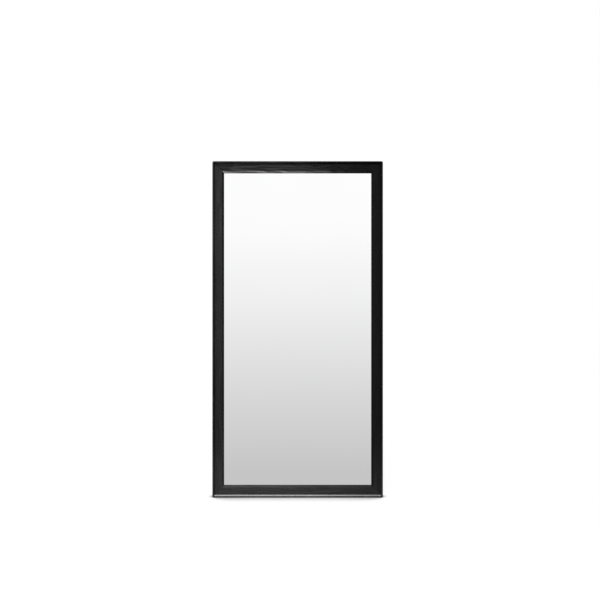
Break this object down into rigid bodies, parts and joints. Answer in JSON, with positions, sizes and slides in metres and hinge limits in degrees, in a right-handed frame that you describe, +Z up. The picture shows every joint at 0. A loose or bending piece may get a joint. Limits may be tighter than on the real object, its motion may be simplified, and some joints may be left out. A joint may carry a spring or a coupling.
{
  "type": "pull-out closet mirror",
  "caption": "Tall wood-framed mirror on a swivel post that ball-bearing telescopic slides carry out of a closet along its side panel.",
  "frame": {"origin": "middle of the bottom of the whole object's box, with the mirror pushed in", "axes": "+X the way the mirror pulls out, +Y towards the closet's side panel, +Z up; the mirror faces -Y at rest"},
  "size_m": [0.507, 0.053, 1],
  "materials": {
    "stained_wood": "black stain on open grain, satin",
    "mirror": "silvered, polished",
    "aluminium": "satin anodised",
    "hardboard": "plain hardboard",
    "zinc_steel": "zinc plated",
    "black_steel": "black powder coat",
    "black_plastic": "matt moulded",
    "grey_plastic": "matt moulded",
    "rubber": "matt"
  },
  "bodies": {
    "closet_slides": {"outer_rail_lower": "zinc_steel", "outer_rail_upper": "zinc_steel", "rail_bumper_lower": "rubber", "rail_bumper_upper": "rubber"},
    "lower_outer_cage": {"outer_ball_cage_lower": "grey_plastic"},
    "upper_outer_cage": {"outer_ball_cage_upper": "grey_plastic"},
    "lower_middle_rail": {"middle_rail_lower": "zinc_steel"},
    "upper_middle_rail": {"middle_rail_upper": "zinc_steel"},
    "lower_inner_cage": {"inner_ball_cage_lower": "grey_plastic"},
    "upper_inner_cage": {"inner_ball_cage_upper": "grey_plastic"},
    "carriage": {"inner_rail_lower": "zinc_steel", "inner_rail_upper": "zinc_steel", "slide_bracket_lower": "black_steel", "slide_bracket_upper": "black_steel", "bracket_screw_lower_1": "zinc_steel", "bracket_screw_lower_2": "zinc_steel", "bracket_screw_upper_1": "zinc_steel", "bracket_screw_upper_2": "zinc_steel", "rail_screw_lower_1": "zinc_steel", "rail_screw_lower_2": "zinc_steel", "rail_screw_upper_1": "zinc_steel", "rail_screw_upper_2": "zinc_steel", "swivel_post": "black_steel", "post_cap_lower": "black_plastic", "post_cap_upper": "black_plastic", "hinge_fixed_leaf_lower": "black_steel", "hinge_fixed_leaf_upper": "black_steel", "hinge_pin_lower": "zinc_steel", "hinge_pin_upper": "zinc_steel"},
    "mirror": {"frame_left_stile": "stained_wood", "frame_right_stile": "stained_wood", "frame_top_rail": "stained_wood", "frame_bottom_rail": "stained_wood", "ledge_strip": "aluminium", "mirror_glass": "mirror", "backing_board": "hardboard", "retaining_clip_left_lower": "zinc_steel", "retaining_clip_left_middle": "zinc_steel", "retaining_clip_left_upper": "zinc_steel", "retaining_clip_right_lower": "zinc_steel", "retaining_clip_right_middle": "zinc_steel", "retaining_clip_right_upper": "zinc_steel", "clip_screw_left_lower": "zinc_steel", "clip_screw_left_middle": "zinc_steel", "clip_screw_left_upper": "zinc_steel", "clip_screw_right_lower": "zinc_steel", "clip_screw_right_middle": "zinc_steel", "clip_screw_right_upper": "zinc_steel", "corner_brace_bottom_left": "zinc_steel", "corner_brace_bottom_right": "zinc_steel", "corner_brace_top_left": "zinc_steel", "corner_brace_top_right": "zinc_steel", "rest_buffer_lower": "rubber", "rest_buffer_upper": "rubber", "hinge_moving_leaf_lower": "black_steel", "hinge_moving_leaf_upper": "black_steel", "leaf_screw_lower_1": "zinc_steel", "leaf_screw_lower_2": "zinc_steel", "leaf_screw_upper_1": "zinc_steel", "leaf_screw_upper_2": "zinc_steel"}
  },
  "joints": [
    {"name": "pull_out", "type": "slide", "parent": "closet_slides", "child": "carriage", "axis": [1, 0, 0], "range_m": [0, 0.44]},
    {"name": "lower_middle_travel", "type": "slide", "parent": "closet_slides", "child": "lower_middle_rail", "axis": [1, 0, 0], "range_m": [0, 0.22]},
    {"name": "upper_middle_travel", "type": "slide", "parent": "closet_slides", "child": "upper_middle_rail", "axis": [1, 0, 0], "range_m": [0, 0.22]},
    {"name": "lower_outer_cage_travel", "type": "slide", "parent": "closet_slides", "child": "lower_outer_cage", "axis": [1, 0, 0], "range_m": [0, 0.11]},
    {"name": "upper_outer_cage_travel", "type": "slide", "parent": "closet_slides", "child": "upper_outer_cage", "axis": [1, 0, 0], "range_m": [0, 0.11]},
    {"name": "lower_inner_cage_travel", "type": "slide", "parent": "closet_slides", "child": "lower_inner_cage", "axis": [1, 0, 0], "range_m": [0, 0.33]},
    {"name": "upper_inner_cage_travel", "type": "slide", "parent": "closet_slides", "child": "upper_inner_cage", "axis": [1, 0, 0], "range_m": [0, 0.33]},
    {"name": "swivel", "type": "hinge", "parent": "carriage", "child": "mirror", "pos_m": [0.2475, 0.0095, 0.5], "axis": [0, 0, 1], "range_deg": [0, 90]}
  ],
  "couplings": [
    {"joint": "lower_middle_travel", "follows": "pull_out", "ratio": 0.5},
    {"joint": "upper_middle_travel", "follows": "pull_out", "ratio": 0.5},
    {"joint": "lower_outer_cage_travel", "follows": "pull_out", "ratio": 0.25},
    {"joint": "upper_outer_cage_travel", "follows": "pull_out", "ratio": 0.25},
    {"joint": "lower_inner_cage_travel", "follows": "pull_out", "ratio": 0.75},
    {"joint": "upper_inner_cage_travel", "follows": "pull_out", "ratio": 0.75}
  ]
}
